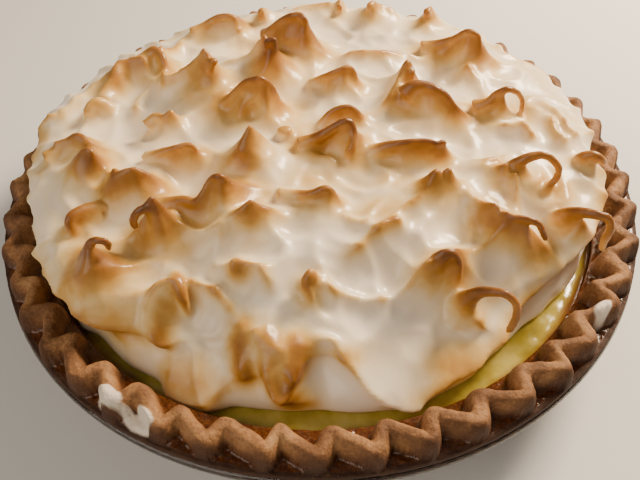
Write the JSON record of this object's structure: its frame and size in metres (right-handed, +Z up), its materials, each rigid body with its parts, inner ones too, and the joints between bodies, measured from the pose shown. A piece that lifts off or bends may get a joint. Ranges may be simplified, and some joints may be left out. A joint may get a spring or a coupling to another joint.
{
  "type": "lemon meringue pie in a dish",
  "caption": "Round pie in its own clear glass dish: fluted pastry rim, lemon filling and a domed meringue pulled into toasted curled peaks.",
  "frame": {"origin": "middle of the dish's flat foot, on the surface it stands on", "axes": "+Z up, -Y towards the side of the pie nearest the camera in the picture, +X to that camera's right"},
  "size_m": [0.25, 0.25, 0.0859],
  "materials": {
    "dish": "clear pressed glass",
    "crust": "baked short pastry, dry on top and glazed inside",
    "lemon_filling": "wet lemon curd",
    "meringue": "white meringue, toasted brown on its peaks and ridges"
  },
  "bodies": {
    "root": {"dish": "dish", "crust": "crust", "lemon_filling": "lemon_filling", "meringue": "meringue"}
  },
  "joints": []
}
